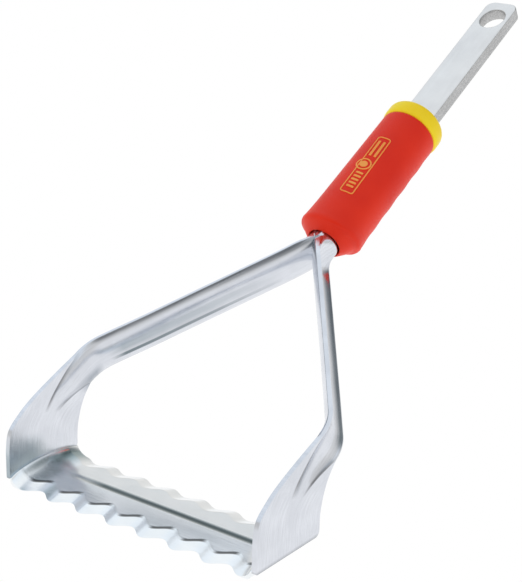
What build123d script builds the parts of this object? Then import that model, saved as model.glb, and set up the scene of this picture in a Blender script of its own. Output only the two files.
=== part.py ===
from build123d import *
import math
import os

os.makedirs("parts", exist_ok=True)

# ---------------------------------------------------------------- driving sizes (mm)
BLADE_LEN = 150.0        # working width, over the outside of the cheeks
BLADE_HALF = 23.5        # blade centre line to a wave crest
WAVES = 8                # waves along each long edge
WAVE_DEPTH = 5.0         # crest to valley
SHEET = 2.3              # thickness of the blade and arm steel
ROOF = 0.6               # rise of the stiffening crease above the edges
EDGE = 0.3               # flat left on the ground edges
BEVEL = 7.2              # width of the ground bevel
TAB_RISE = 8.3           # top of the arched end tabs at the crease
TAB_FOOT = 4.2           # top of the end tabs at the edges
END_R = 3.5              # bend under each end of the blade
CHEEK_FOOT = 3.2         # lower edge of the cheeks above the cutting edges

HANDLE_ANGLE = 29.0      # handle axis above the blade plane, degrees
AXIS_OFFSET = 24.0       # handle axis above the blade centre, square to the axis

ARM_HALF = 9.5           # half width of the arm strip
RIB_HALF = 7.9           # half width of the pressed rib
RIB_DEPTH = 3.4          # depth of the pressed rib
ELBOW_START = 47.6       # where the cheek starts to bend inwards
ELBOW_R = 25.0           # outside radius of the elbow
ARM_SPLAY = 35.6         # arm direction against the handle axis, degrees
NECK_X = 5.9             # outer face of each arm in the neck
NECK_R = 12.0            # radius of the neck bend
ARM_END = 198.0          # end of the arms inside the sleeve

TANG_W = 19.0            # width of the flat tang
TANG_T = 7.2             # thickness of the flat tang
FORK_START = 167.5       # ends of the fork that grips the arms
FORK_GAP = 6.8           # gap between the fork's prongs
FORK_FLOOR = 198.6       # bottom of the fork
TANG_END = 358.5         # free end of the tang
TANG_CORNER = 5.0        # rounded corners of the free end
EYE_R = 7.2
EYE_FROM_END = 14.0
RIVETS_AT = (175.0, 189.0)
RIVET_R = 2.0
RIVET_HEAD_R = 3.0
RIVET_HEAD_T = 1.2

NOSE = 161.0             # blade end of the sleeve
NOSE_LEN = 8.0           # length of the rounded nose
MOUTH_WALL = 167.0       # inside of the nose wall
COLLAR_START = 247.3     # joint between sleeve and collar
COLLAR_END = 257.3       # outer face of the collar
SLEEVE_R_NOSE = 16.1     # outside radius behind the nose
SLEEVE_R_COLLAR = 15.25  # outside radius at the collar
BORE_R = 12.9            # bore of the sleeve
CORE_R = 12.6            # radius of the core inside it
COLLAR_R = 15.9          # outside radius of the collar
PLUG_LEN = 6.0           # spigot of the collar inside the sleeve
CLEAR = 0.3              # play around the hidden fits

BADGE_LEN = 42.5         # length of the printed strip
BADGE_W = 7.2            # width of the printed strip
BADGE_T = 0.4            # its thickness
BADGE_CORNER = 1.2       # its corner radius
BADGE_DISC_R = 4.6       # disc in its middle
BADGE_AT = 205.2         # its middle
BADGE_TURN = 11.0        # turned round the sleeve towards the right arm, degrees

# ---------------------------------------------------------------- shared frame
# The row's origin is the centre of the tang's eye. Lengths s run up the handle axis from the
# foot of the perpendicular through the blade centre, and n stands off the axis.
ANGLE = math.radians(HANDLE_ANGLE)
ALONG = Vector(0, math.cos(ANGLE), math.sin(ANGLE))
ACROSS = Vector(0, -math.sin(ANGLE), math.cos(ANGLE))
AXIS_ORIGIN = ALONG * (EYE_FROM_END - TANG_END)
BLADE_CENTRE = AXIS_ORIGIN - ACROSS * AXIS_OFFSET

# local x is the blade direction, local y runs up the handle axis, local z stands off it
STIRRUP = Plane(origin=AXIS_ORIGIN, x_dir=(1, 0, 0), z_dir=ACROSS)
HANDLE_AXIS = Axis(AXIS_ORIGIN, ALONG)

# through the blade centre at its cutting edges' height: seen from above, from the right and from the front
BLADE_TOP = Plane(origin=BLADE_CENTRE, x_dir=(1, 0, 0), z_dir=(0, 0, 1))
BLADE_SIDE = Plane(origin=BLADE_CENTRE, x_dir=(0, 1, 0), z_dir=(1, 0, 0))
BLADE_FRONT = Plane(origin=BLADE_CENTRE, x_dir=(1, 0, 0), z_dir=(0, -1, 0))


def side_point(s, n):
    """Side view position of (s, n) from the blade centre: back and up."""
    p = ACROSS * (AXIS_OFFSET + n) + ALONG * s
    return (p.Y, p.Z)


def across_axis(s):
    """Plane square to the handle axis at s: local x is the blade direction."""
    return Plane(origin=AXIS_ORIGIN + ALONG * s, x_dir=(1, 0, 0), z_dir=ALONG * -1)


def rivet_plane(s, x=0.0, side=1):
    """Plane square to a rivet at s, at x along the blade direction."""
    return Plane(origin=AXIS_ORIGIN + ALONG * s + Vector(x, 0, 0), x_dir=ALONG, z_dir=(side, 0, 0))


# ---------------------------------------------------------------- blade
PITCH = BLADE_LEN / WAVES
FIRST_CREST = BLADE_LEN / 2 - PITCH / 2
BLADE_X = BLADE_LEN / 2 - SHEET
RISE = (SHEET + ROOF * BEVEL / BLADE_HALF - EDGE) / BEVEL
TOP_Z = ROOF + SHEET + 0.3


def wave_points(side, inset):
    """Crests and valleys of one long edge from left to right, moved in by inset."""
    points = []
    for i in range(2 * WAVES - 1):
        x = -FIRST_CREST + i * PITCH / 2
        y = BLADE_HALF - inset - (WAVE_DEPTH if i % 2 else 0.0)
        points.append((x, side * y))
    return points


def blade_outline(inset):
    """Blade outline with both waved edges, both edges moved in by inset."""
    crest = BLADE_HALF - inset
    level = [(1, 0)] * (2 * WAVES - 1)
    with BuildSketch() as outline:
        with BuildLine():
            Line((-BLADE_X, -crest), (-FIRST_CREST, -crest))
            Spline(*wave_points(-1, inset), tangents=level)
            Line((FIRST_CREST, -crest), (BLADE_X, -crest))
            Line((BLADE_X, -crest), (BLADE_X, crest))
            Line((BLADE_X, crest), (FIRST_CREST, crest))
            Spline(*wave_points(1, inset), tangents=level)
            Line((-FIRST_CREST, crest), (-BLADE_X, crest))
            Line((-BLADE_X, crest), (-BLADE_X, -crest))
        make_face()
    return outline.sketch


with BuildPart() as blade:
    with BuildSketch(BLADE_TOP):
        add(blade_outline(0.0))
    extrude(amount=EDGE)
    with BuildSketch(BLADE_TOP.offset(EDGE)):
        add(blade_outline(0.0))
    with BuildSketch(BLADE_TOP.offset(TOP_Z)):
        add(blade_outline((TOP_Z - EDGE) / RISE))
    loft(ruled=True)
    with BuildSketch(BLADE_SIDE.offset(-BLADE_X)):
        with BuildLine():
            Polyline(
                (-BLADE_HALF, 0),
                (0, ROOF),
                (BLADE_HALF, 0),
                (BLADE_HALF, SHEET),
                (0, ROOF + SHEET),
                (-BLADE_HALF, SHEET),
                close=True,
            )
        make_face()
    extrude(amount=2 * BLADE_X, mode=Mode.INTERSECT)

with BuildPart() as end_tabs:
    with BuildSketch(BLADE_FRONT.offset(-BLADE_HALF + 0.4)):
        with BuildLine():
            Polyline(
                (BLADE_X - 1.5, TAB_RISE + 0.5),
                (BLADE_X, TAB_RISE + 0.5),
                (BLADE_X, 1.0),
                (BLADE_X - 9.5, 1.0),
                (BLADE_X - 9.5, 2.4),
            )
            TangentArc((BLADE_X - 9.5, 2.4), (BLADE_X - 1.5, TAB_RISE + 0.5), tangent=(1, 0.1))
        make_face()
    extrude(amount=2 * BLADE_HALF - 0.8)
    mirror(about=Plane.YZ)
    with BuildSketch(BLADE_SIDE.offset(-BLADE_X)):
        with BuildLine():
            ThreePointArc((-BLADE_HALF + 0.4, TAB_FOOT), (0, TAB_RISE), (BLADE_HALF - 0.4, TAB_FOOT))
            Polyline(
                (BLADE_HALF - 0.4, TAB_FOOT),
                (BLADE_HALF - 0.4, 0),
                (-BLADE_HALF + 0.4, 0),
                (-BLADE_HALF + 0.4, TAB_FOOT),
            )
        make_face()
    extrude(amount=2 * BLADE_X, mode=Mode.INTERSECT)

with blade:
    add(end_tabs.part)
    with BuildSketch(BLADE_FRONT.offset(-BLADE_HALF - 1)) as end_view:
        with Locations((0, TAB_RISE)):
            Rectangle(2 * BLADE_X, 2 * TAB_RISE)
        fillet(end_view.vertices().group_by(Axis.Y)[0], radius=END_R)
    extrude(amount=2 * BLADE_HALF + 2, mode=Mode.INTERSECT)

blade.part.label = "blade"
export_step(blade.part, "parts/blade.step")

# ---------------------------------------------------------------- arms
# cheek stations: front edge and back edge in (s, n), rib half width and rib depth
CHEEK_STATIONS = (
    ((4.8, 12.5), (34.3, -16.4), 1.8, 0.06),
    ((12.2, 12.9), (37.0, -14.4), 3.6, 0.60),
    ((20.5, 12.5), (39.5, -12.8), 5.2, 1.40),
    ((30.0, 11.6), (42.3, -11.5), 6.4, 2.30),
    ((39.0, 10.6), (45.2, -10.4), 7.3, 3.00),
    ((ELBOW_START, ARM_HALF), (ELBOW_START, -ARM_HALF), RIB_HALF, RIB_DEPTH),
)


def station_plane(front, back):
    """Section plane through a front and a back edge point: local x to the front, local y inwards."""
    fy, fz = side_point(*front)
    by, bz = side_point(*back)
    middle = BLADE_CENTRE + Vector(BLADE_LEN / 2, (fy + by) / 2, (fz + bz) / 2)
    towards = Vector(0, fy - by, fz - bz)
    return Plane(origin=middle, x_dir=towards, z_dir=towards.cross(Vector(-1, 0, 0)))


def strip_section(half, rib, depth):
    """Section of the arm strip with its pressed rib standing inwards."""
    groove_r = (rib * rib + depth * depth) / (2 * depth)
    ridge_r = groove_r + SHEET
    ridge = math.sqrt(ridge_r**2 - (ridge_r - depth) ** 2)
    with BuildSketch() as section:
        with BuildLine():
            Line((-half, 0), (-rib, 0))
            ThreePointArc((-rib, 0), (0, depth), (rib, 0))
            Line((rib, 0), (half, 0))
            Line((half, 0), (half, SHEET))
            Line((half, SHEET), (ridge, SHEET))
            ThreePointArc((ridge, SHEET), (0, SHEET + depth), (-ridge, SHEET))
            Line((-ridge, SHEET), (-half, SHEET))
            Line((-half, SHEET), (-half, 0))
        make_face()
    return section.sketch


def half_length(front, back):
    """Half the distance between two (s, n) points."""
    return math.hypot(front[0] - back[0], front[1] - back[1]) / 2


splay = math.radians(ARM_SPLAY)
elbow_end = (
    BLADE_LEN / 2 - ELBOW_R + ELBOW_R * math.cos(splay),
    ELBOW_START + ELBOW_R * math.sin(splay),
)
arm_run = (elbow_end[0] - NECK_X) / math.sin(splay) - NECK_R * math.tan(splay / 2)
neck_start = (
    elbow_end[0] - arm_run * math.sin(splay),
    elbow_end[1] + arm_run * math.cos(splay),
)
neck_end = (NECK_X, neck_start[1] + NECK_R * math.sin(splay))

with BuildPart() as arm_right:
    with BuildSketch(BLADE_SIDE.offset(BLADE_LEN / 2)) as cheek:
        first_front = side_point(*CHEEK_STATIONS[0][0])
        first_back = side_point(*CHEEK_STATIONS[0][1])
        second_front = side_point(*CHEEK_STATIONS[1][0])
        second_back = side_point(*CHEEK_STATIONS[1][1])
        front_run = (second_front[0] - first_front[0], second_front[1] - first_front[1])
        back_run = (first_back[0] - second_back[0], first_back[1] - second_back[1])
        with BuildLine():
            Line((-BLADE_HALF, CHEEK_FOOT), (-BLADE_HALF, 18.0))
            Spline((-BLADE_HALF, 18.0), (-20.6, 28.2), first_front, tangents=[(0, 1), front_run])
            Line(first_front, first_back)
            Spline(first_back, (BLADE_HALF, 13.0), tangents=[back_run, (0, -1)])
            Line((BLADE_HALF, 13.0), (BLADE_HALF, CHEEK_FOOT))
            Line((BLADE_HALF, CHEEK_FOOT), (-BLADE_HALF, CHEEK_FOOT))
        make_face()
    extrude(amount=-SHEET)
    back_corner = arm_right.edges().filter_by(Axis.X).group_by(Axis.Z)[0].sort_by(Axis.Y)[-1]
    fillet(back_corner, radius=3.0)
    for front, back, rib, depth in CHEEK_STATIONS:
        with BuildSketch(station_plane(front, back)):
            add(strip_section(half_length(front, back), rib, depth))
    loft()
    with BuildLine(STIRRUP) as arm_path:
        elbow = CenterArc((BLADE_LEN / 2 - ELBOW_R, ELBOW_START), ELBOW_R, 0, ARM_SPLAY)
        run = Line(elbow @ 1, neck_start)
        neck = TangentArc(run @ 1, neck_end, tangent=run % 1)
        Line(neck @ 1, (NECK_X, ARM_END))
    with BuildSketch(station_plane(*CHEEK_STATIONS[-1][:2])):
        add(strip_section(ARM_HALF, RIB_HALF, RIB_DEPTH))
    sweep(path=arm_path.line)
    for s in RIVETS_AT:
        with BuildSketch(rivet_plane(s)):
            Circle(RIVET_R + CLEAR)
        extrude(amount=2 * NECK_X, mode=Mode.SUBTRACT)

arm_right.part.label = "arm_right"
export_step(arm_right.part, "parts/arm_right.step")

with BuildPart() as arm_left:
    add(mirror(arm_right.part, about=Plane.YZ))

arm_left.part.label = "arm_left"
export_step(arm_left.part, "parts/arm_left.step")

# ---------------------------------------------------------------- tang and rivets
with BuildPart() as tang:
    with BuildSketch(STIRRUP) as tang_face:
        with Locations((0, (FORK_START + TANG_END) / 2)):
            Rectangle(TANG_W, TANG_END - FORK_START)
        fillet(tang_face.vertices().group_by(Axis.Y)[-1], radius=TANG_CORNER)
        with Locations((0, (FORK_START + FORK_FLOOR) / 2)):
            Rectangle(FORK_GAP, FORK_FLOOR - FORK_START, mode=Mode.SUBTRACT)
        with Locations((0, TANG_END - EYE_FROM_END)):
            Circle(EYE_R, mode=Mode.SUBTRACT)
    extrude(amount=TANG_T / 2, both=True)
    for s in RIVETS_AT:
        with BuildSketch(rivet_plane(s)):
            Circle(RIVET_R + CLEAR)
        extrude(amount=TANG_W, both=True, mode=Mode.SUBTRACT)

tang.part.label = "tang"
export_step(tang.part, "parts/tang.step")

with BuildPart() as tang_rivets:
    for s in RIVETS_AT:
        with BuildSketch(rivet_plane(s)):
            Circle(RIVET_R)
        extrude(amount=TANG_W / 2 + RIVET_HEAD_T, both=True)
        for side in (-1, 1):
            with BuildSketch(rivet_plane(s, side * TANG_W / 2, side)):
                Circle(RIVET_HEAD_R)
            extrude(amount=RIVET_HEAD_T)

tang_rivets.part.label = "tang_rivets"
export_step(tang_rivets.part, "parts/tang_rivets.step")

# ---------------------------------------------------------------- sleeve, core and collar
with BuildPart() as sleeve:
    with BuildSketch(STIRRUP):
        with BuildLine():
            Polyline((0, MOUTH_WALL), (BORE_R, MOUTH_WALL), (BORE_R, COLLAR_START))
            Line((BORE_R, COLLAR_START), (SLEEVE_R_COLLAR, COLLAR_START))
            Line((SLEEVE_R_COLLAR, COLLAR_START), (SLEEVE_R_NOSE, NOSE + NOSE_LEN))
            Spline(
                (SLEEVE_R_NOSE, NOSE + NOSE_LEN),
                (SLEEVE_R_NOSE - 1.1, NOSE + 3.0),
                (10.0, NOSE),
                tangents=[(0, -1), (-1, 0)],
            )
            Line((10.0, NOSE), (0, NOSE))
            Line((0, NOSE), (0, MOUTH_WALL))
        make_face()
    revolve(axis=HANDLE_AXIS)
    with BuildSketch(across_axis(NOSE - 1)):
        RectangleRounded(2 * (NECK_X + CLEAR), 2 * (ARM_HALF + CLEAR), 0.5)
    extrude(amount=-(MOUTH_WALL - NOSE + 3), mode=Mode.SUBTRACT)

sleeve.part.label = "sleeve"
export_step(sleeve.part, "parts/sleeve.step")

with BuildPart() as core:
    with BuildSketch(across_axis(MOUTH_WALL)):
        Circle(CORE_R)
    extrude(amount=-(COLLAR_START - PLUG_LEN - MOUTH_WALL))
    with BuildSketch(across_axis(MOUTH_WALL)):
        Rectangle(2 * (NECK_X + CLEAR), 2 * (ARM_HALF + CLEAR))
        Rectangle(TANG_W + 2 * (RIVET_HEAD_T + CLEAR), TANG_T + 2 * CLEAR)
    extrude(amount=-(FORK_FLOOR - MOUTH_WALL), mode=Mode.SUBTRACT)
    with BuildSketch(across_axis(FORK_FLOOR - 0.1)):
        Rectangle(TANG_W + 2 * CLEAR, TANG_T + 2 * CLEAR)
    extrude(amount=-(COLLAR_START - FORK_FLOOR), mode=Mode.SUBTRACT)

core.part.label = "core"
export_step(core.part, "parts/core.step")

with BuildPart() as collar_ring:
    with BuildSketch(STIRRUP) as collar_profile:
        Polygon(
            (0, COLLAR_START - PLUG_LEN),
            (CORE_R, COLLAR_START - PLUG_LEN),
            (CORE_R, COLLAR_START),
            (COLLAR_R, COLLAR_START),
            (COLLAR_R, COLLAR_END),
            (0, COLLAR_END),
            align=None,
        )
        rim = collar_profile.vertices().filter_by_position(Axis.X, COLLAR_R - 0.1, COLLAR_R + 0.1)
        fillet(rim.sort_by(Axis.Y)[-1], radius=2.6)
        fillet(rim.sort_by(Axis.Y)[0], radius=1.2)
    revolve(axis=HANDLE_AXIS)
    with BuildSketch(across_axis(COLLAR_START - PLUG_LEN - 1)):
        Rectangle(TANG_W + 2 * CLEAR, TANG_T + 2 * CLEAR)
    extrude(amount=-(COLLAR_END - COLLAR_START + PLUG_LEN + 2), mode=Mode.SUBTRACT)

collar_ring.part.label = "collar_ring"
export_step(collar_ring.part, "parts/collar_ring.step")

# ---------------------------------------------------------------- badge
def sleeve_radius(s):
    """Outside radius of the straight part of the sleeve at s."""
    share = (s - NOSE - NOSE_LEN) / (COLLAR_START - NOSE - NOSE_LEN)
    return SLEEVE_R_NOSE + share * (SLEEVE_R_COLLAR - SLEEVE_R_NOSE)


turn = math.radians(BADGE_TURN)
badge_up = Vector(math.sin(turn), 0, 0) + ACROSS * math.cos(turn)
badge_side = Vector(math.cos(turn), 0, 0) - ACROSS * math.sin(turn)
badge_low = BADGE_AT - BADGE_LEN / 2
badge_high = BADGE_AT + BADGE_LEN / 2

with BuildPart() as badge:
    with BuildSketch(STIRRUP):
        with BuildLine():
            Polyline(
                (sleeve_radius(badge_low), badge_low),
                (sleeve_radius(badge_high), badge_high),
                (sleeve_radius(badge_high) + BADGE_T, badge_high),
                (sleeve_radius(badge_low) + BADGE_T, badge_low),
                close=True,
            )
        make_face()
    revolve(axis=HANDLE_AXIS)
    with BuildSketch(Plane(origin=AXIS_ORIGIN, x_dir=badge_side, z_dir=badge_up)):
        with Locations((0, BADGE_AT)):
            RectangleRounded(BADGE_W, BADGE_LEN, BADGE_CORNER)
            Circle(BADGE_DISC_R)
    extrude(amount=SLEEVE_R_NOSE + 5, mode=Mode.INTERSECT)

badge.part.label = "badge"
export_step(badge.part, "parts/badge.step")
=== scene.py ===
import math

import bmesh
import bpy
import numpy as np
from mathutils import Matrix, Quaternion, Vector


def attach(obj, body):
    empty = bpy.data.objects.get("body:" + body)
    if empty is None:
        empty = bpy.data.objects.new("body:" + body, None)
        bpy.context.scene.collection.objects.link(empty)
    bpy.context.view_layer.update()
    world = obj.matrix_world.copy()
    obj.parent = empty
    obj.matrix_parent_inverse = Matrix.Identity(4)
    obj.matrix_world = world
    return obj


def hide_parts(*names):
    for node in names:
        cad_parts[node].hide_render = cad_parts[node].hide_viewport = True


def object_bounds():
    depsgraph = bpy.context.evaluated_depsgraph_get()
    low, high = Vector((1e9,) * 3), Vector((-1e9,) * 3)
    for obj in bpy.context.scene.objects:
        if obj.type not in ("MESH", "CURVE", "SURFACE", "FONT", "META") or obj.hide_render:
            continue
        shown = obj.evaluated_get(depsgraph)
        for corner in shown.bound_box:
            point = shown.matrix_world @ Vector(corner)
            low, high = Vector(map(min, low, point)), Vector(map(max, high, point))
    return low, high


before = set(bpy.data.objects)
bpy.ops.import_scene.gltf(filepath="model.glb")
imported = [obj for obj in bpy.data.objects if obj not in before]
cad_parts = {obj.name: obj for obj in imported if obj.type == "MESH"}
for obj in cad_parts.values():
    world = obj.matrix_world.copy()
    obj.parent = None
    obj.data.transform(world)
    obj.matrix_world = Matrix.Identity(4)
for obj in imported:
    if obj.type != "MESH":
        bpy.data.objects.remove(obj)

CAD_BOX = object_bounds()

# ---------------------------------------------------------------- sizes (mm)
# Most are the CAD part's own. RIB_HALF, SLEEVE_R_COLLAR and COLLAR_R are a little larger, and the eye is
# oval.
TILT = math.radians(29.0)      # handle axis above the blade plane
EYE_S = 344.5                  # the eye, the origin, along the handle axis
AXIS_OFFSET = 24.0
SHEET = 2.3

BLADE_X = 72.7                 # half length of the blade between the cheeks
BLADE_HALF = 23.5
PITCH = 18.75
WAVE_DEPTH = 5.0
LAST_CREST = 65.625
ROOF = 0.6
EDGE = 0.3
BEVEL = 7.2
SCOOP = 8.0                    # length of the upturned blade ends at the edges
SCOOP_MIDDLE = 17.0            # and on the centre line
TAB_RISE = 8.3
TAB_FOOT = 4.2
END_R = 3.5
DENT = 0.16                    # the pressed crease along the middle: its depth
DENT_HALF = 1.3                # and its half width
BACK_INSET = 0.8               # the back edge lies this far in,
BACK_WAVE = 0.7                # and has this share of the front edge's wave
ARCH_HALF = 23.6               # half width of the upturned ends' arch
ARCH_RIM = 0.9                 # the arch stops rising this far from the end
ARCH_STEEP = 0.975             # 1 would end it upright
LEAST_SHEET = 0.25

CHEEK_X = 75.0
CHEEK_FOOT = 3.2
CHEEK_CORNER_BACK = 3.0
CHEEK_CORNER_FRONT = 1.2
ARM_HALF = 9.5
RIB_HALF = 9.1
RIB_DEPTH = 3.4
ELBOW_START = 47.6
ELBOW_R = 25.0
SPLAY = math.radians(35.6)
NECK_X = 5.9
ARM_END = 198.0
TUBE_R = 8.2                   # the two arms close to a tube at the sleeve's mouth
TUBE_GAP = 0.15                # from the middle plane to each arm's rim in the closed neck

NOSE = 161.0
MOUTH_R = 8.6
MOUTH_END_S = 166.9            # where the sleeve's narrow mouth opens into its bore
NOSE_END_S = 168.2             # where the sleeve is full, halfway up its sides
NOSE_SLANT = 3.4
NOSE_RIM_R = 9.4
NOSE_FACE = 5.0                # width of the nose's end face
NOSE_ROUND = 2.3               # length of the rounding outside it
SLEEVE_R_NOSE = 16.1
SLEEVE_R_COLLAR = 15.5
BORE_R = 12.9
FLARE = 0.6                    # extra radius at the nose, dying away over FLARE_LENGTH
FLARE_LENGTH = 7.0
FINGER_WAVE = 0.15
FINGER_PITCH = 15.0
FINGER_S = 172.0               # the first wave's crest
FINGER_FADE = 9.0              # the waves fade out over this length at both ends
COLLAR_START = 247.3
COLLAR_END_FACE = 257.25
COLLAR_R = 16.2
COLLAR_ROUND_S = 254.0         # where the collar's rounded rim starts
COLLAR_ROUND = 3.2
COLLAR_ROUND_RISE = 3.25
SPIGOT_R = 12.6
SPIGOT_S = 241.4

BADGE_S = 205.2                # the badge's centre along the handle axis
BADGE_TURN = math.radians(11.0)
BADGE_TWIST = math.radians(0.094)   # turn lost for each mm along the sleeve
BADGE_R = 15.4
PRINT_SUNK = -0.25             # the print's underside, below the sleeve's face
PRINT_LIFT = 0.32

TANG_W = 19.0
TANG_T = 7.2
TANG_START = 167.5
TANG_END = 358.5
TANG_CORNER = 5.0
FORK_GAP = 6.8
FORK_FLOOR = 198.6
EYE_HALF_W = 6.85
EYE_HALF_L = 8.0

# stretches of the arm along the handle axis, each a start and an end
RIB_DEEPENS = (95.0, 146.0)
RIB_EXTRA = 0.4
RIM_SINKS = (62.0, 84.0)
RIM_RISES = (140.0, 156.0)
RIM_SINK = 0.5
NECK_CLOSES = (147.0, 160.3)
NECK_NARROWS = (149.0, 160.5)
NECK_STRAIGHTENS_S = 152.0
NECK_OPENS = (161.5, 167.0)

# ---------------------------------------------------------------- camera (m)
CAMERA_PLACE = Vector((0.4514, -0.8147, 0.1688))
CAMERA_TARGET = Vector((-0.0005, -0.2119, -0.1003))
CAMERA_LENS = 102.58
CAMERA_ROLL = math.radians(0.889)


def make_camera():
    """A long lens above the right arm, looking down the blade."""
    data = bpy.data.cameras.new("camera")
    data.sensor_width = 36.0
    data.lens = CAMERA_LENS
    data.clip_end = 100.0
    cam = bpy.data.objects.new("camera", data)
    bpy.context.scene.collection.objects.link(cam)
    cam.location = CAMERA_PLACE
    cam.rotation_mode = "QUATERNION"
    aim = (CAMERA_TARGET - CAMERA_PLACE).to_track_quat("-Z", "Y")
    cam.rotation_quaternion = aim @ Quaternion((0, 0, 1), CAMERA_ROLL)
    bpy.context.scene.camera = cam


make_camera()


# ---------------------------------------------------------------- places and curves
def on_axis(x, s, n):
    """Row-frame points (mm) from x, the length s up the handle axis and the stand-off n."""
    x, s, n = np.broadcast_arrays(x, s, n)
    y = math.cos(TILT) * (s - EYE_S) - math.sin(TILT) * n
    z = math.sin(TILT) * (s - EYE_S) + math.cos(TILT) * n
    return np.stack([x, y, z], axis=-1)


def on_blade(x, y, z):
    """Row-frame points (mm) from the blade's centre at its cutting edges' height."""
    x, y, z = np.broadcast_arrays(x, y, z)
    centre = on_axis(0.0, 0.0, -AXIS_OFFSET)
    return np.stack([x + centre[0], y + centre[1], z + centre[2]], axis=-1)


def axis_place(y, z):
    """(s, n) of a side view point given from the blade's centre."""
    s = y * math.cos(TILT) + z * math.sin(TILT)
    n = z * math.cos(TILT) - y * math.sin(TILT) - AXIS_OFFSET
    return s, n


def smooth(a, b, x):
    """0 below a, 1 above b, eased in between."""
    t = np.clip((x - a) / (b - a), 0.0, 1.0)
    return t * t * (3 - 2 * t)


def catmull(keys, steps):
    """Smooth rows through the keys; each key is a list of numbers, the first one the run."""
    keys = np.array(keys, dtype=float)
    run = keys[:, 0]
    slopes = np.gradient(keys, run, axis=0)
    rows = []
    for i in range(len(keys) - 1):
        h = run[i + 1] - run[i]
        for k in range(steps):
            t = k / steps
            h00 = (1 + 2 * t) * (1 - t) ** 2
            h10 = t * (1 - t) ** 2
            h01 = t * t * (3 - 2 * t)
            h11 = t * t * (t - 1)
            rows.append(h00 * keys[i] + h10 * h * slopes[i] + h01 * keys[i + 1] + h11 * h * slopes[i + 1])
    rows.append(keys[-1])
    return np.array(rows)


# ---------------------------------------------------------------- meshes
def piece(name, verts, faces, node, material, sharp, flow=None):
    """A closed mesh in mm that stands for one CAD node."""
    mesh = bpy.data.meshes.new(name)
    mesh.from_pydata((np.asarray(verts) * 0.001).tolist(), [], faces)
    if flow is not None:
        layer = mesh.attributes.new("flow", "FLOAT_VECTOR", "POINT")
        layer.data.foreach_set("vector", np.asarray(flow, dtype=np.float32).ravel())
    shape = bmesh.new()
    shape.from_mesh(mesh)
    bmesh.ops.recalc_face_normals(shape, faces=shape.faces)
    shape.to_mesh(mesh)
    shape.free()
    mesh.shade_smooth()
    mesh.set_sharp_from_angle(angle=math.radians(sharp))
    mesh.materials.append(material)
    thing = bpy.data.objects.new(name, mesh)
    bpy.context.scene.collection.objects.link(thing)
    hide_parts(node)
    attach(thing, "root")
    return thing


def soften(thing, width, segments, limit):
    """Rounds the edges of a piece that are sharper than the limit in degrees (width in mm)."""
    mod = thing.modifiers.new("edges", "BEVEL")
    mod.width = width * 0.001
    mod.segments = segments
    mod.limit_method = "ANGLE"
    mod.angle_limit = math.radians(limit)
    mod.harden_normals = True


def shell(outer, inner):
    """Vertices and faces of the closed sheet between two grids of the same size."""
    rows, cols = outer.shape[:2]
    verts = np.concatenate([outer.reshape(-1, 3), inner.reshape(-1, 3)])
    half = rows * cols
    faces = []
    for i in range(rows - 1):
        for j in range(cols - 1):
            a = i * cols + j
            faces.append((a, a + 1, a + cols + 1, a + cols))
            faces.append((half + a, half + a + cols, half + a + cols + 1, half + a + 1))
    for i in range(rows - 1):
        for j in (0, cols - 1):
            a = i * cols + j
            faces.append((a, a + cols, half + a + cols, half + a))
    for j in range(cols - 1):
        for i in (0, rows - 1):
            a = i * cols + j
            faces.append((a, half + a, half + a + 1, a + 1))
    return verts, faces


def closed_rings(grid):
    """Vertices and faces of rings of points, with the last ring joined to the first."""
    count, around_count = grid.shape[:2]
    faces = []
    for i in range(count):
        for j in range(around_count):
            k = (j + 1) % around_count
            m = (i + 1) % count
            faces.append((
                i * around_count + j, i * around_count + k, m * around_count + k, m * around_count + j,
            ))
    return grid.reshape(-1, 3), faces


# ---------------------------------------------------------------- materials
WHITE = (1, 1, 1, 1)


def grey(v):
    return (v, v, v)


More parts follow.
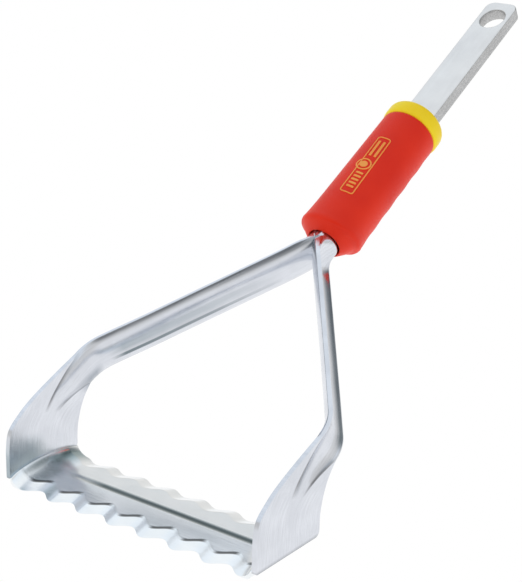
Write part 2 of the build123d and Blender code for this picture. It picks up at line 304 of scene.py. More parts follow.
class Nodes:
    """Short hand for building one node material. Values are output sockets, numbers or colours."""

    def __init__(self, name):
        self.material = bpy.data.materials.new(name)
        self.material.use_nodes = True
        self.tree = self.material.node_tree
        self.shader = self.tree.nodes["Principled BSDF"]

    def add(self, kind, **values):
        node = self.tree.nodes.new(kind)
        for key, value in values.items():
            setattr(node, key, value)
        return node

    def feed(self, socket, value):
        """Links an output into the socket, or sets a plain value on it."""
        if isinstance(value, bpy.types.NodeSocket):
            self.tree.links.new(value, socket)
        else:
            socket.default_value = value

    def flow(self):
        """The three numbers that a piece stores at each of its points."""
        source = self.add("ShaderNodeAttribute", attribute_name="flow")
        parts = self.add("ShaderNodeSeparateXYZ")
        self.feed(parts.inputs["Vector"], source.outputs["Vector"])
        return parts.outputs["X"], parts.outputs["Y"], parts.outputs["Z"]

    def noise(self, stretch, scale, detail=3.0, rough=0.5, flow=False):
        """Noise over object or flow coordinates, stretched."""
        if flow:
            source = self.add("ShaderNodeAttribute", attribute_name="flow").outputs["Vector"]
        else:
            source = self.add("ShaderNodeTexCoord").outputs["Object"]
        mapping = self.add("ShaderNodeMapping")
        mapping.inputs["Scale"].default_value = stretch
        self.feed(mapping.inputs["Vector"], source)
        node = self.add("ShaderNodeTexNoise")
        node.inputs["Scale"].default_value = scale
        node.inputs["Detail"].default_value = detail
        node.inputs["Roughness"].default_value = rough
        self.feed(node.inputs["Vector"], mapping.outputs["Vector"])
        return node.outputs["Fac"]

    def ramp(self, value, stops):
        node = self.add("ShaderNodeValToRGB")
        ramp = node.color_ramp
        ramp.elements[0].position = stops[0][0]
        ramp.elements[0].color = (*stops[0][1], 1)
        ramp.elements[1].position = stops[-1][0]
        ramp.elements[1].color = (*stops[-1][1], 1)
        for at, colour in stops[1:-1]:
            step = ramp.elements.new(at)
            step.color = (*colour, 1)
        self.feed(node.inputs["Fac"], value)
        return node.outputs["Color"]

    def span(self, value, low, high, to=(0.0, 1.0), eased=False):
        """The value, carried from low and high to the two numbers in to, and no further."""
        node = self.add("ShaderNodeMapRange")
        if eased:
            node.interpolation_type = "SMOOTHSTEP"
        for key, number in (("From Min", low), ("From Max", high), ("To Min", to[0]), ("To Max", to[1])):
            node.inputs[key].default_value = number
        self.feed(node.inputs["Value"], value)
        return node.outputs["Result"]

    def work(self, operation, *values):
        """One sum on numbers."""
        node = self.add("ShaderNodeMath", operation=operation)
        for socket, value in zip(node.inputs, values):
            self.feed(socket, value)
        return node.outputs[0]

    def blend(self, share, a, b, kind="MIX"):
        """a where the share is 0 and b where it is 1, or their product and so on for another kind."""
        node = self.add("ShaderNodeMix", data_type="RGBA", blend_type=kind)
        for index, value in ((0, share), (6, a), (7, b)):
            self.feed(node.inputs[index], value)
        return node.outputs[2]

    def product(self, *layers):
        """The layers' colours, multiplied."""
        total = layers[0]
        for layer in layers[1:]:
            total = self.blend(1.0, total, layer, "MULTIPLY")
        return total

    def finish(self, colour, grain, rough_low, rough_high, bump, distance):
        """Feeds the shader its colour, and its roughness and bump from one grain. Gives the material."""
        self.feed(self.shader.inputs["Base Color"], colour)
        rough = self.ramp(grain, [(0.3, grey(rough_low)), (0.7, grey(rough_high))])
        self.feed(self.shader.inputs["Roughness"], rough)
        node = self.add("ShaderNodeBump")
        node.inputs["Strength"].default_value = bump
        node.inputs["Distance"].default_value = distance
        self.feed(node.inputs["Height"], grain)
        self.feed(self.shader.inputs["Normal"], node.outputs["Normal"])
        return self.material


def satin(name):
    """Satin plate: fine brushing along the faces; the sides and the eye's wall, found by the way they face,
    are darker and speckled.
    """
    m = Nodes(name)
    m.shader.inputs["Metallic"].default_value = 1.0
    source = m.add("ShaderNodeTexCoord")
    dot = m.add("ShaderNodeVectorMath", operation="DOT_PRODUCT")
    dot.inputs[1].default_value = (0.0, -math.sin(TILT), math.cos(TILT))
    m.feed(dot.inputs[0], source.outputs["Normal"])
    facing = m.work("ABSOLUTE", dot.outputs["Value"])
    lines = m.noise((700, 60, 60), 1.0, 4.0, 0.6)
    speckle = m.noise((1, 1, 1), 1400.0, 3.0, 0.7)
    clouds = m.noise((1, 1, 1), 60.0, 2.0)
    side = m.ramp(speckle, [(0.35, grey(0.40)), (0.62, grey(0.62))])
    face = m.ramp(clouds, [(0.35, (0.77, 0.765, 0.765)), (0.65, (0.83, 0.825, 0.82))])
    share = m.ramp(facing, [(0.45, grey(0.0)), (0.75, grey(1.0))])
    return m.finish(m.blend(share, side, face), lines, 0.34, 0.50, 0.3, 0.00003)


def pressed(name, streak_stops, limb_stops, broad_at, cheek_shade, elbow_shade):
    """Arm plating: drawing lines along the strip, and darker tints laid on its points.

    The tints are painted shade on the rib's edges where the groove runs out, narrow on one side and broad on
    the broad_at side, painted shade along the cheek's foot, a streak along the limb, and shades on the cheek
    and at the elbow. The streak and the shades stand for what bright plate mirrors. All are laid on the
    metal, so they stay put in every view.
    """
    m = Nodes(name)
    m.shader.inputs["Metallic"].default_value = 1.0
    along, across, from_rib = m.flow()
    start = m.span(along, 0.0, 100.0)      # share of the strip's first 100 mm
    limb = m.span(along, 60.0, 190.0)
    width = m.span(across, -10.0, 10.0)
    rim = m.span(from_rib, -4.0, 2.0)      # share of the way over the rib's edge

    # painted shade: dark bands on the rib's edges where the groove runs out on the cheek, narrow on one side
    # and broad on the broad_at side
    narrow = m.ramp(rim, [(0.36, grey(1.0)), (0.56, grey(0.30)), (0.67, grey(0.30)), (0.78, grey(1.0))])
    broad = m.ramp(rim, [
        (0.0, (0.78, 0.79, 0.81)), (0.25, (0.50, 0.52, 0.54)), (0.60, grey(0.34)), (0.70, grey(0.40)),
        (0.80, grey(1.0)),
    ])
    runout_shade_tone = m.blend(m.span(across, 0.0, broad_at, eased=True), narrow, broad)
    runout_shade_share = m.ramp(start, [(0.27, grey(0.0)), (0.35, grey(1.0)), (0.45, grey(0.8)), (0.58, grey(0.0))])
    runout_shade = m.blend(runout_shade_share, WHITE, runout_shade_tone)
    # painted shade: darker over the first 2 mm of the strip, along the cheek's foot
    foot = m.ramp(start, [(0.0, grey(0.55)), (0.009, grey(0.8)), (0.02, grey(1.0))])
    streak = m.blend(m.ramp(limb, limb_stops), WHITE, m.ramp(width, streak_stops))

    def spot(stops, low, high, colour):
        """Tint over a stretch of the strip, growing from low to high across it."""
        share = m.work("MULTIPLY", m.ramp(start, stops), m.span(across, low, high, eased=True))
        return m.blend(share, WHITE, (*colour, 1))

    cheek = spot([(0.0, grey(1.0)), (0.09, grey(1.0)), (0.18, grey(0.0))], -4.0, 10.0, cheek_shade)
    elbow_stops = [(0.42, grey(0.0)), (0.54, grey(1.0)), (0.60, grey(1.0)), (0.66, grey(0.0))]
    elbow = spot(elbow_stops, 0.5, -5.5, elbow_shade)

    lines = m.noise((0.03, 1.6, 1.0), 1.0, 4.0, 0.6, flow=True)
    clouds = m.noise((1, 1, 1), 60.0, 2.0)
    plate = m.ramp(clouds, [(0.35, (0.70, 0.725, 0.78)), (0.65, (0.77, 0.795, 0.85))])
    drawn = m.ramp(lines, [(0.35, grey(0.90)), (0.62, grey(1.0))])
    colour = m.product(plate, drawn, runout_shade, foot, streak, cheek, elbow)
    return m.finish(colour, lines, 0.16, 0.28, 0.15, 0.00002)


def creased(name):
    """Blade plating, with darker tints laid on its points.

    They are painted shade along the pressed crease, short lines above the front bevel's crests, and the
    hollows under the end arches. The lines and hollows stand for what bright plate mirrors. All of them stay
    put in every view.
    """
    m = Nodes(name)
    m.shader.inputs["Metallic"].default_value = 1.0
    x, y, from_edge = m.flow()

    # painted shade: a dark band along the pressed crease, fading out between x = -34 and -58 mm towards the
    # blade's -x end
    off_crease = m.work("MULTIPLY", m.work("ABSOLUTE", m.work("SUBTRACT", y, 0.5)), 0.1)
    crease_shade_stops = [(0.06, (0.13, 0.16, 0.16)), (0.14, (0.34, 0.38, 0.38)), (0.27, grey(1.0))]
    crease = m.blend(m.span(x, -58.0, -34.0), WHITE, m.ramp(off_crease, crease_shade_stops))

    phase = m.work("MULTIPLY_ADD", x, 2 * math.pi / PITCH, 2 * math.pi * LAST_CREST / PITCH)
    level = m.span(m.work("SINE", phase), -0.35, 0.45, (0.12, 1.0))
    line_stops = [(0.60, grey(1.0)), (0.66, grey(0.16)), (0.79, grey(0.16)), (0.86, grey(1.0))]
    bevel = m.blend(level, WHITE, m.ramp(m.work("MULTIPLY", from_edge, 0.1), line_stops))

    outward = m.work("ABSOLUTE", x)
    at_end = m.span(outward, 59.0, 68.0, eased=True)
    at_back = m.span(y, -6.0, 5.0, eased=True)
    off_rim = m.span(outward, 69.6, 71.4, (1.0, 0.0), eased=True)
    hollow = m.work("MULTIPLY", m.work("MULTIPLY", at_end, at_back), off_rim)

    lines = m.noise((30, 900, 900), 1.0, 4.0, 0.6)
    clouds = m.noise((1, 1, 1), 70.0, 3.0)
    plate = m.ramp(clouds, [(0.35, (0.87, 0.90, 0.92)), (0.65, (0.93, 0.95, 0.965))])
    plate = m.blend(hollow, plate, (0.34, 0.42, 0.43, 1))
    return m.finish(m.product(plate, bevel, crease), lines, 0.15, 0.26, 0.2, 0.00002)


def moulded(name, low, high, rough_low, rough_high):
    """Injection-moulded plastic: faint flow clouds and a fine even grain."""
    m = Nodes(name)
    m.shader.inputs["Specular IOR Level"].default_value = 0.22
    grain = m.noise((1, 1, 1), 900.0)
    clouds = m.noise((1, 1, 1), 35.0, 2.0)
    return m.finish(m.ramp(clouds, [(0.35, low), (0.65, high)]), grain, rough_low, rough_high, 0.12, 0.00006)


# each arm has its own painted reflection streak; only the left arm has painted shade on its cheek and at its
# elbow
LEFT_STEEL = pressed(
    "left_arm_plating",
    streak_stops=[
        (0.27, grey(1.0)), (0.292, (0.26, 0.31, 0.32)), (0.37, (0.28, 0.33, 0.34)), (0.395, grey(0.86)),
        (0.50, (0.66, 0.70, 0.71)), (0.60, (0.62, 0.66, 0.67)), (0.66, grey(1.0)),
    ],
    limb_stops=[(0.09, grey(0.0)), (0.15, grey(1.0)), (0.50, grey(0.75)), (0.85, grey(0.0))],
    broad_at=-3.0,
    cheek_shade=(0.62, 0.69, 0.70),
    elbow_shade=(0.55, 0.58, 0.61),
)
RIGHT_STEEL = pressed(
    "right_arm_plating",
    streak_stops=[
        (0.02, (0.60, 0.61, 0.63)), (0.12, (0.80, 0.81, 0.83)), (0.24, grey(1.0)), (0.9, grey(1.0)),
    ],
    limb_stops=[(0.06, grey(0.0)), (0.20, grey(0.7)), (0.50, grey(1.0)), (0.85, grey(1.0))],
    broad_at=3.0,
    cheek_shade=grey(1.0),
    elbow_shade=grey(1.0),
)
BLADE_STEEL = creased("blade_plating")
TANG_STEEL = satin("tang_plating")
RED = moulded("red_plastic", (0.78, 0.020, 0.004), (0.88, 0.030, 0.006), 0.38, 0.48)
YELLOW = moulded("yellow_plastic", (1.0, 0.70, 0.012), (1.0, 0.80, 0.02), 0.30, 0.38)
PRINT = moulded("orange_print", (0.95, 0.34, 0.06), (1.0, 0.42, 0.09), 0.30, 0.36)
DARK = moulded("core_plastic", (0.02, 0.02, 0.022), (0.03, 0.03, 0.033), 0.45, 0.55)


# ---------------------------------------------------------------- arms
def groove(a, rib, depth):
    """Depth of the pressed groove at a across the strip, with softened shoulders."""
    radius = (rib * rib + depth * depth) / (2 * depth)
    total = 0.0
    weights = 0.0
    for k in range(-4, 5):
        weight = math.exp(-((k / 2.2) ** 2))
        b = a + 0.17 * k
        dip = np.sqrt(np.maximum(radius**2 - b**2, 0.0)) - (radius - depth)
        total = total + weight * np.where(np.abs(b) < rib, dip, 0.0)
        weights += weight
    return total / weights


def cheek_rows():
    """(front, back, rib half, rib depth) of the flat cheek; front and back are (s, n)."""
    foot = CHEEK_FOOT
    top = foot + CHEEK_CORNER_BACK
    back_r = CHEEK_CORNER_BACK
    front_r = CHEEK_CORNER_FRONT
    rows = []
    for z in (foot, foot + 0.12, foot + 0.45, foot + 1.0, foot + 1.9, foot + 3.0):
        rise = z - foot
        back = BLADE_HALF - (back_r - math.sqrt(max(back_r**2 - (back_r - rise) ** 2, 0.0)))
        front = -BLADE_HALF + (front_r - math.sqrt(max(front_r**2 - max(front_r - rise, 0.0) ** 2, 0.0)))
        rows.append((axis_place(front, z), axis_place(back, z), 2.5, 0.02))
    # each key: run, front (s, n), back (s, n), rib half, rib depth
    keys = [
        (0.0, *axis_place(-BLADE_HALF, top), *axis_place(BLADE_HALF, top), 2.5, 0.02),
        (6.0, *axis_place(-23.44, 12.5), *axis_place(23.55, 9.8), 3.0, 0.02),
        (11.0, *axis_place(-23.28, 18.0), *axis_place(23.75, 13.2), 3.6, 0.02),
        (18.5, *axis_place(-20.8, 28.0), *axis_place(24.8, 18.6), 4.2, 0.03),
        (24.5, 4.8, 12.5, 34.3, -16.4, 4.6, 0.06),
        (30.5, 12.2, 12.9, 37.0, -14.4, 5.7, 0.60),
        (36.5, 20.5, 12.5, 39.5, -12.8, 6.8, 1.45),
        (43.0, 30.0, 11.6, 42.3, -11.5, 7.8, 2.35),
        (50.5, 39.0, 10.6, 45.2, -10.4, 8.6, 3.00),
        (57.5, ELBOW_START, ARM_HALF, ELBOW_START, -ARM_HALF, RIB_HALF, RIB_DEPTH),
    ]
    for _, fs, fn, bs, bn, rib, depth in catmull(keys, 7)[1:]:
        rows.append(((fs, fn), (bs, bn), rib, depth))
    return rows


def arm_rows():
    """Rows of the right arm from the cheek's foot to its end.

    Each is (front x, s, n), (back x, s, n), inward (x, s), rib half, rib depth, closing share.
    """
    flat = [
        ((CHEEK_X, *front), (CHEEK_X, *back), (-1.0, 0.0), rib, depth, 0.0)
        for front, back, rib, depth in cheek_rows()
    ]

    centre = CHEEK_X - ELBOW_R
    for k in range(1, 13):
        turn = SPLAY * k / 12
        x = centre + ELBOW_R * math.cos(turn)
        s = ELBOW_START + ELBOW_R * math.sin(turn)
        inward = (-math.cos(turn), -math.sin(turn))
        flat.append(((x, s, ARM_HALF), (x, s, -ARM_HALF), inward, RIB_HALF, RIB_DEPTH, 0.0))

    x0 = centre + ELBOW_R * math.cos(SPLAY)
    s0 = ELBOW_START + ELBOW_R * math.sin(SPLAY)
    run = NOSE - s0
    meet = s0 + (x0 - TUBE_GAP) / math.tan(SPLAY)
    for k in range(1, 91):
        s = s0 + run * k / 90
        x = max(x0 - (s - s0) * math.tan(SPLAY), TUBE_GAP)
        close = float(smooth(*NECK_CLOSES, s))
        deep = RIB_DEPTH + RIB_EXTRA * float(smooth(*RIB_DEEPENS, s))
        half = ARM_HALF - (ARM_HALF - TUBE_R) * float(smooth(*NECK_NARROWS, s))
        lean = 1.0 - float(smooth(NECK_STRAIGHTENS_S, meet, s))
        inward = (-math.cos(SPLAY * lean), -math.sin(SPLAY * lean))
        sink = RIM_SINK * float(smooth(*RIM_SINKS, s)) * (1.0 - float(smooth(*RIM_RISES, s)))
        flat.append(((x, s, half - sink), (x, s, -half - sink), inward, RIB_HALF, deep, close))
    for k in range(1, 25):
        s = NOSE + (ARM_END - NOSE) * k / 24
        share = float(smooth(*NECK_OPENS, s))
        x = TUBE_GAP + (NECK_X - TUBE_GAP) * share
        half = TUBE_R + (ARM_HALF - TUBE_R) * share
        flat.append(((x, s, half), (x, s, -half), (-1.0, 0.0), RIB_HALF, RIB_DEPTH, 1.0 - share))
    return flat


def make_arm(name, node, side, material):
    """One arm: the flat cheek, the elbow, the grooved limb and the half tube of the neck.

    Its inner face follows the open groove even where the neck is closed, so the neck has no hollow. There
    each arm passes the middle plane and runs into the other.
    """
    rib_part = 0.985 - np.array([0.0, 0.04, 0.085, 0.14, 0.21, 0.29, 0.38, 0.48, 0.59, 0.71, 0.84])
    lip_part = np.array([1.0, 0.8, 0.6, 0.4, 0.25, 0.12])
    cols = 2 * (len(rib_part) + len(lip_part)) + 1
    spread = np.linspace(1.0, -1.0, cols)
    outer = []
    open_rows = []
    along = []
    travelled = 0.0
    last = None
    for front, back, inward, rib, depth, close in arm_rows():
        front = np.array(front)
        back = np.array(back)
        half = np.linalg.norm(front - back) / 2
        right = np.concatenate([rib + (half - rib) * lip_part, rib * rib_part])
        strip = np.concatenate([right, [0.0], -right[::-1]])
        tube = half * np.sin(math.pi / 2 * spread)
        a = (1 - close) * strip + close * tube
        unit = (front - back) / (2 * half)
        middle = (front + back) / 2
        points = middle + a[:, None] * unit
        dip = groove(a, min(rib, half - 0.4), depth)[:, None] * np.array([inward[0], inward[1], 0.0])
        open_rows.append(points + dip)
        swell = (TUBE_R - middle[0]) * np.sqrt(np.maximum(1 - (a / half) ** 2, 0.0))
        bulge = swell[:, None] * np.array([1.0, 0.0, 0.0])
        outer.append(points + (1 - close) * dip + close * bulge)
        if last is not None:
            travelled += float(np.linalg.norm(middle - last))
        last = middle
        along.append(np.stack([np.full(cols, travelled), a, np.abs(a) - rib], axis=-1))
    outer = np.array(outer)
    open_rows = np.array(open_rows)
    normal = np.cross(np.gradient(open_rows, axis=0), np.gradient(open_rows, axis=1))
    normal /= np.linalg.norm(normal, axis=-1, keepdims=True)
    if normal[4, cols // 2][0] > 0:      # on the cheek, which must thicken inwards
        normal = -normal
    inner = open_rows + SHEET * normal
    outer[..., 0] *= side
    inner[..., 0] *= side
    verts, faces = shell(
        on_axis(outer[..., 0], outer[..., 1], outer[..., 2]),
        on_axis(inner[..., 0], inner[..., 1], inner[..., 2]),
    )
    flow = np.concatenate([np.array(along).reshape(-1, 3)] * 2)
    thing = piece(name, verts, faces, node, material, 50.0, flow)
    soften(thing, 0.95, 4, 50.0)


make_arm("right_arm", "arm_right", 1, RIGHT_STEEL)
make_arm("left_arm", "arm_left", -1, LEFT_STEEL)


# ---------------------------------------------------------------- blade
def make_blade():
    """The waved blade: ground bevels, a shallow crease and smoothly upturned ends."""
    xs = np.concatenate([
        np.linspace(-BLADE_X, -BLADE_X + 4, 26),
        np.linspace(-BLADE_X + 4, BLADE_X - 4, 210)[1:-1],
        np.linspace(BLADE_X - 4, BLADE_X, 26),
    ])
    slope = (SHEET + ROOF * BEVEL / BLADE_HALF - EDGE) / BEVEL
    inset = np.array([0.0, 0.8, 2.2, 3.8, 5.2, 6.2, 6.75, 7.1, 7.3, 7.65, 8.3, 9.3])
    middle = [3.2, 2.5, 1.9, 1.4, 0.9, 0.4]
    tops = []
    lows = []
    flow = []
    for x in xs:
        wave = 0.0
        if abs(x) < LAST_CREST:
            wave = WAVE_DEPTH / 2 * (1 - math.cos(2 * math.pi * (LAST_CREST - abs(x)) / PITCH))
        front_edge = BLADE_HALF - wave
        back_edge = BLADE_HALF - BACK_INSET - BACK_WAVE * wave
        front = np.concatenate([front_edge - inset, np.linspace(front_edge - 10.3, 4.0, 4), middle])
        back = np.concatenate([back_edge - inset, np.linspace(back_edge - 10.3, 4.0, 4), middle])
        y = np.concatenate([-front, [0.0], back[::-1]])
        edge = np.where(y < 0, front_edge, back_edge)
        off = np.abs(y)
        plain = smooth(BLADE_X - 26, BLADE_X - 8, abs(x))
        dent = DENT * np.exp(-((off / DENT_HALF) ** 2)) * (1 - plain)
        crease = ROOF * (1 - off / BLADE_HALF) - dent
        top = np.minimum(EDGE + (edge - off) * slope, crease + SHEET)
        low = np.clip(crease, 0.0, None) * np.clip((edge - off) / 2.0, 0.0, 1.0)
        reach = SCOOP + (SCOOP_MIDDLE - SCOOP) * (1 - (off / BLADE_HALF) ** 2)
        t = np.clip((abs(x) - (BLADE_X - reach)) / (reach - ARCH_RIM), 0.0, 1.0)
        crown = np.sqrt(np.maximum(1 - (off / ARCH_HALF) ** 2, 0.0)) ** 1.4
        arch = TAB_FOOT + (TAB_RISE - TAB_FOOT) * crown
        scoop = (1 - np.sqrt(1 - (ARCH_STEEP * t) ** 2)) / (1 - math.sqrt(1 - ARCH_STEEP**2))
        top = top + (arch - top) * scoop
        from_end = BLADE_X - abs(x)
        if from_end < END_R:
            low = np.maximum(low, END_R - math.sqrt(END_R**2 - (END_R - from_end) ** 2))
        top = np.maximum(top, low + LEAST_SHEET)
        tops.append(on_blade(np.full(len(y), x), y, top))
        lows.append(on_blade(np.full(len(y), x), y, low))
        # the bevel's lines are on the front edge only; 20 mm is past the last of them
        flow.append(np.stack([np.full(len(y), x), y, np.where(y < 0, edge - off, 20.0)], axis=-1))
    verts, faces = shell(np.array(tops), np.array(lows))
    lines = np.concatenate([np.array(flow).reshape(-1, 3)] * 2)
    piece("wave_blade", verts, faces, "blade", BLADE_STEEL, 48.0, lines)


make_blade()


# ---------------------------------------------------------------- sleeve, collar, badge
def nose_end(up):
    """Where the sleeve reaches its full radius; the upper side reaches further down."""
    return NOSE_END_S - NOSE_SLANT * up


def sleeve_radius(s, up):
    """Outside radius of the sleeve, with the finger waves on its underside."""
    past_nose = s - nose_end(up)
    share = np.clip(past_nose / (COLLAR_START - nose_end(up)), 0.0, 1.0)
    radius = SLEEVE_R_NOSE + share * (SLEEVE_R_COLLAR - SLEEVE_R_NOSE)
    fade = smooth(0.0, FINGER_FADE, past_nose)
    grip = smooth(0.1, 0.75, -up) * fade * smooth(0.0, FINGER_FADE, COLLAR_START - s)
    flare = FLARE * np.exp(-np.clip(past_nose, 0.0, None) / FLARE_LENGTH)
    return radius + flare + FINGER_WAVE * grip * np.cos(2 * math.pi * (s - FINGER_S) / FINGER_PITCH)


def make_sleeve():
    """The red grip: its mouth, slanted nose, waved sides and bore."""
    turn = np.linspace(0, 2 * math.pi, 144, endpoint=False)
    right, up = np.sin(turn), np.cos(turn)
    end = nose_end(up)
    full = sleeve_radius(end, up)
    flat = np.ones_like(up)
    inner_r = NOSE_RIM_R + NOSE_FACE

    mouth = ((MOUTH_R, MOUTH_END_S), (MOUTH_R, 162.2), (8.75, 161.5), (9.2, 161.05))
    profile = [(r * flat, s * flat) for r, s in mouth]
    for t in (0.12, 0.3, 0.5, 0.7, 0.88, 1.0):
        s = NOSE + (end - NOSE_ROUND - NOSE) * (0.85 * t + 0.15 * t * t)
        profile.append((NOSE_RIM_R + NOSE_FACE * t * flat, s))
    for t in (0.25, 0.5, 0.75, 1.0):
        r = (1 - t) ** 2 * inner_r + 2 * t * (1 - t) * (full - 0.1) + t * t * full
        s = (1 - t) ** 2 * (end - NOSE_ROUND) + 2 * t * (1 - t) * (end - 1.7) + t * t * (end + 0.6)
        profile.append((r, s))
    for t in np.linspace(0, 1, 64)[1:]:
        s = end + 0.6 + (COLLAR_START - 0.65 - end - 0.6) * t
        profile.append((sleeve_radius(s, up), s))
    tail = (
        (SLEEVE_R_COLLAR - 0.12, COLLAR_START - 0.3), (SLEEVE_R_COLLAR - 0.5, COLLAR_START - 0.05),
        (BORE_R, COLLAR_START - 0.05), (BORE_R, MOUTH_END_S),
    )
    profile += [(r * flat, s * flat) for r, s in tail]
    verts, faces = closed_rings(np.array([on_axis(r * right, s, r * up) for r, s in profile]))
    piece("grip_sleeve", verts, faces, "sleeve", RED, 40.0)


make_sleeve()


def make_collar():
    """The yellow ring and its spigot, with the tang's slot through both."""
    half_w = TANG_W / 2 + 0.3
    half_t = TANG_T / 2 + 0.3
    corner = math.atan2(half_w, half_t)
    turn = list(np.linspace(0, 2 * math.pi, 120, endpoint=False))
    turn += [corner, math.pi - corner, math.pi + corner, 2 * math.pi - corner]
    turn = np.array(sorted(turn))
    right, up = np.sin(turn), np.cos(turn)
    slot = 1 / np.maximum(np.abs(right) / half_w, np.abs(up) / half_t)
    flat = np.ones_like(turn)
    rim = [
        (SPIGOT_R, SPIGOT_S), (SPIGOT_R, COLLAR_START), (14.6, COLLAR_START),
        (15.3, 247.45), (15.7, 247.9), (15.95, 248.6),
    ]
    rim += [(COLLAR_R, s) for s in (249.6, 251.0, 252.6, COLLAR_ROUND_S)]
    for k in range(1, 8):
        turned = math.pi / 2 * k / 7
        r = COLLAR_R - COLLAR_ROUND + COLLAR_ROUND * math.cos(turned)
        rim.append((r, COLLAR_ROUND_S + COLLAR_ROUND_RISE * math.sin(turned)))
    profile = [(slot, SPIGOT_S)] + [(r * flat, s) for r, s in rim] + [(slot, COLLAR_END_FACE)]
    verts, faces = closed_rings(np.array([on_axis(r * right, s, r * up) for r, s in profile]))
    piece("yellow_collar", verts, faces, "collar_ring", YELLOW, 40.0)


make_collar()


# ---------------------------------------------------------------- badge
def on_sleeve(points, height):
    """Row-frame points (mm) above the sleeve's face from (across, along) points of the badge."""
    s = BADGE_S + points[:, 1]
    turn = BADGE_TURN - BADGE_TWIST * points[:, 1] + points[:, 0] / BADGE_R
    up = np.cos(turn)
    r = sleeve_radius(s, up) + height
    return on_axis(r * np.sin(turn), s, r * up).tolist()


def print_patch(points, verts, faces, lift=PRINT_LIFT):
    """A thin plate on the sleeve from an outline of (across, along) points in mm."""
    points = np.array(points)
    base = len(verts)
    count = len(points)
    for height in (PRINT_SUNK, lift):
        verts.extend(on_sleeve(points, height))
    faces.append(tuple(base + i for i in range(count)))
    faces.append(tuple(base + count + i for i in range(count)))
    for i in range(count):
        k = (i + 1) % count
        faces.append((base + i, base + k, base + count + k, base + count + i))


def print_ribbon(path, width, verts, faces, lift=PRINT_LIFT):
    """A closed raised line along a loop of (across, along) points."""
    path = np.array(path)
    ahead = np.roll(path, -1, axis=0) - np.roll(path, 1, axis=0)
    ahead /= np.linalg.norm(ahead, axis=1, keepdims=True)
    side = np.stack([ahead[:, 1], -ahead[:, 0]], axis=1) * width / 2
    base = len(verts)
    count = len(path)
    for sign, height in ((1, PRINT_SUNK), (1, lift), (-1, lift), (-1, PRINT_SUNK)):
        verts.extend(on_sleeve(path + sign * side, height))
    for band in range(4):
        for i in range(count):
            k = (i + 1) % count
            a, b = base + band * count, base + (band + 1) % 4 * count
            faces.append((a + i, a + k, b + k, b + i))


def loop(half_w, half_l, corner, step=0.7):
    """A rounded rectangle of (across, along) points."""
    points = []
    for cx, cy, start in ((1, 1, 0), (-1, 1, 90), (-1, -1, 180), (1, -1, 270)):
        for k in range(7):
            a = math.radians(start + 15 * k)
            across = cx * (half_w - corner) + corner * math.cos(a)
            points.append((across, cy * (half_l - corner) + corner * math.sin(a)))
    dense = []
    for i, p in enumerate(points):
        q = points[(i + 1) % len(points)]
        count = max(1, int(math.dist(p, q) / step))
        dense += [(p[0] + (q[0] - p[0]) * k / count, p[1] + (q[1] - p[1]) * k / count) for k in range(count)]
    return dense


def circle(radius, across):
    """A circle of (across, along) points, level with the badge's centre."""
    turn = [2 * math.pi * k / 40 for k in range(40)]
    return [(across + radius * math.cos(a), radius * math.sin(a)) for a in turn]


def make_badge():
    """A plain printed panel: a frame, a ringed disc and two sets of bars."""
    verts = []
    faces = []
    print_ribbon(loop(3.4, 20.9, 1.2), 0.55, verts, faces)
    print_ribbon(circle(3.7, -1.2), 0.7, verts, faces, 0.36)
    print_patch(circle(2.1, -1.2), verts, faces, 0.34)
    for k in range(5):
        along = -16.6 + 2.55 * k
        print_patch([(x, y + along) for x, y in loop(1.9, 0.6, 0.3, 0.5)], verts, faces)
    for across in (-1.35, 1.35):
        print_patch([(x + across, y + 12.4) for x, y in loop(0.62, 5.8, 0.4, 0.6)], verts, faces)
    piece("badge_panel", verts, faces, "badge", PRINT, 30.0)


make_badge()


# ---------------------------------------------------------------- tang
def tang_outline(inset):
    """Outline of the forked tang, moved in by inset: the same number of points each time."""
    w = TANG_W / 2 - inset
    gap = FORK_GAP / 2 + inset
    low = TANG_START + inset
    top = TANG_END - inset
    corner = TANG_CORNER - inset
    points = [(gap, low), (w, low)]
    points += [(w, s) for s in np.linspace(TANG_START + 4, TANG_END - 6, 60)]
    for k in range(9):
        a = math.radians(90 * k / 8)
        points.append((w - corner + corner * math.cos(a), top - corner + corner * math.sin(a)))
    mirrored = [(-x, s) for x, s in points[::-1]]
    return points + mirrored + [(-gap, FORK_FLOOR + inset), (gap, FORK_FLOOR + inset)]


def eye_outline(inset):
    """The eye, slightly longer than wide, opened by inset."""
    turn = [2 * math.pi * k / 64 for k in range(64)]
    return [((EYE_HALF_W + inset) * math.cos(a), EYE_S + (EYE_HALF_L + inset) * math.sin(a)) for a in turn]


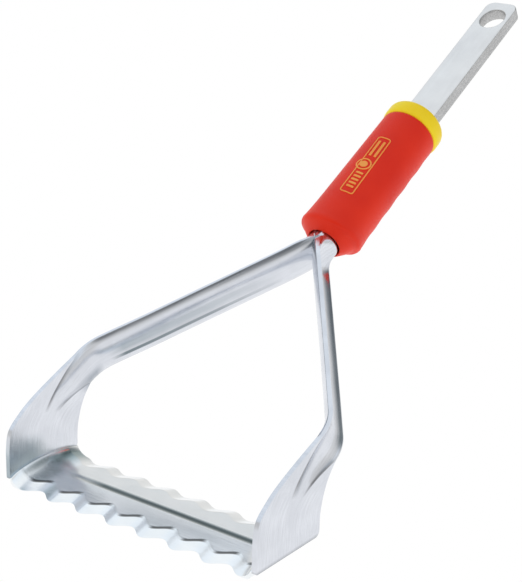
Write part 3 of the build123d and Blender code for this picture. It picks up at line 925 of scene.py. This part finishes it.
def make_tang():
    """The flat tang with rounded edges, a rolled line along each side and its eye."""
    skin = TANG_T / 2
    # each layer: height, inset of the outline, inset of the eye
    half_layers = [
        (skin, 0.75, 0.95), (skin - 0.06, 0.42, 0.55), (skin - 0.22, 0.17, 0.25), (skin - 0.45, 0.03, 0.07),
        (skin - 0.75, 0.0, 0.0), (1.5, 0.0, 0.0), (1.3, 0.14, 0.0), (1.1, 0.0, 0.0),
    ]
    layers = [(-n, x, y) for n, x, y in half_layers] + half_layers[::-1]
    verts = []
    faces = []
    for make, which in ((tang_outline, 1), (eye_outline, 2)):
        first = len(verts)
        count = len(make(0.0))
        for layer in layers:
            for x, s in make(layer[which]):
                verts.append(on_axis(x, s, layer[0]).tolist())
        for i in range(len(layers) - 1):
            for j in range(count):
                k = (j + 1) % count
                a = first + i * count
                faces.append((a + j, a + k, a + count + k, a + count + j))
    # the two flat faces, each filled between the outline and the eye
    mesh = bpy.data.meshes.new("tang_raw")
    mesh.from_pydata(verts, [], faces)
    shape = bmesh.new()
    shape.from_mesh(mesh)
    rims = {-1: [], 1: []}
    for edge in shape.edges:
        if edge.is_boundary:
            middle = (edge.verts[0].co + edge.verts[1].co) / 2
            n = middle.z * math.cos(TILT) - middle.y * math.sin(TILT)
            rims[1 if n > 0 else -1].append(edge)
    for rim in rims.values():
        bmesh.ops.triangle_fill(shape, edges=rim, use_beauty=True)
    shape.to_mesh(mesh)
    shape.free()
    verts = [tuple(v.co) for v in mesh.vertices]
    faces = [tuple(p.vertices) for p in mesh.polygons]
    bpy.data.meshes.remove(mesh)
    piece("flat_tang", verts, faces, "tang", TANG_STEEL, 30.0)


make_tang()

for node, material in (("tang_rivets", TANG_STEEL), ("core", DARK)):
    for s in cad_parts[node].material_slots:
        s.material = material


# ---------------------------------------------------------------- stage
FLOOR_HALF = 15                # m
FLOOR_DROP = 0.0005            # m, below the object's lowest point

# the studio's colour by height, from straight below (0) to straight above (1)
STUDIO = [
    (0.0, (0.84, 0.83, 0.81)), (0.42, (0.70, 0.695, 0.68)), (0.49, (0.86, 0.92, 0.98)),
    (0.75, (0.88, 0.94, 1.0)), (1.0, (0.95, 0.98, 1.0)),
]

# dark panels round the object: turn from +X and rise in degrees, inner and outer half width, colour
DARK_PANELS = (
    (72.0, 38.0, 10.0, 34.0, (0.16, 0.19, 0.20)),
    (303.0, 24.0, 14.0, 30.0, (0.12, 0.13, 0.14)),
)


def make_floor():
    """A white floor that glows, so that it shows no shadow."""
    mesh = bpy.data.meshes.new("floor")
    far = FLOOR_HALF
    z = CAD_BOX[0][2] - FLOOR_DROP
    mesh.from_pydata([(-far, -far, z), (far, -far, z), (far, far, z), (-far, far, z)], [], [(0, 1, 2, 3)])
    floor = bpy.data.objects.new("floor", mesh)
    bpy.context.scene.collection.objects.link(floor)
    white = Nodes("floor")
    for key, value in (
        ("Base Color", (0.0, 0.0, 0.0, 1)), ("Roughness", 0.9), ("Specular IOR Level", 0.0),
        ("Emission Color", WHITE), ("Emission Strength", 1.0),
    ):
        white.shader.inputs[key].default_value = value
    mesh.materials.append(white.material)


def make_world():
    """A plain studio: warm from below, cool from above, with two dark panels."""
    world = bpy.data.worlds.new("world")
    bpy.context.scene.world = world
    world.use_nodes = True
    tree = world.node_tree
    place = tree.nodes.new("ShaderNodeTexCoord")
    parts = tree.nodes.new("ShaderNodeSeparateXYZ")
    ramp = tree.nodes.new("ShaderNodeValToRGB")
    elements = ramp.color_ramp.elements
    elements[0].position, elements[0].color = STUDIO[0][0], (*STUDIO[0][1], 1)
    elements[1].position, elements[1].color = STUDIO[-1][0], (*STUDIO[-1][1], 1)
    for at, colour in STUDIO[1:-1]:
        elements.new(at).color = (*colour, 1)
    tree.links.new(place.outputs["Generated"], parts.inputs[0])
    tree.links.new(parts.outputs["Z"], ramp.inputs[0])
    last = ramp.outputs[0]
    for turn, rise, inner, outer, colour in DARK_PANELS:
        turn, rise = math.radians(turn), math.radians(rise)
        towards = (math.cos(turn) * math.cos(rise), math.sin(turn) * math.cos(rise), math.sin(rise))
        dot = tree.nodes.new("ShaderNodeVectorMath")
        dot.operation = "DOT_PRODUCT"
        dot.inputs[1].default_value = towards
        tree.links.new(place.outputs["Generated"], dot.inputs[0])
        share = tree.nodes.new("ShaderNodeMapRange")
        share.interpolation_type = "SMOOTHSTEP"
        share.inputs["From Min"].default_value = math.cos(math.radians(outer))
        share.inputs["From Max"].default_value = math.cos(math.radians(inner))
        tree.links.new(dot.outputs["Value"], share.inputs["Value"])
        mix = tree.nodes.new("ShaderNodeMix")
        mix.data_type = "RGBA"
        tree.links.new(share.outputs["Result"], mix.inputs[0])
        tree.links.new(last, mix.inputs[6])
        mix.inputs[7].default_value = (*colour, 1)
        last = mix.outputs[2]
    tree.links.new(last, tree.nodes["Background"].inputs[0])


make_floor()
make_world()
bpy.context.scene.view_settings.view_transform = "Standard"
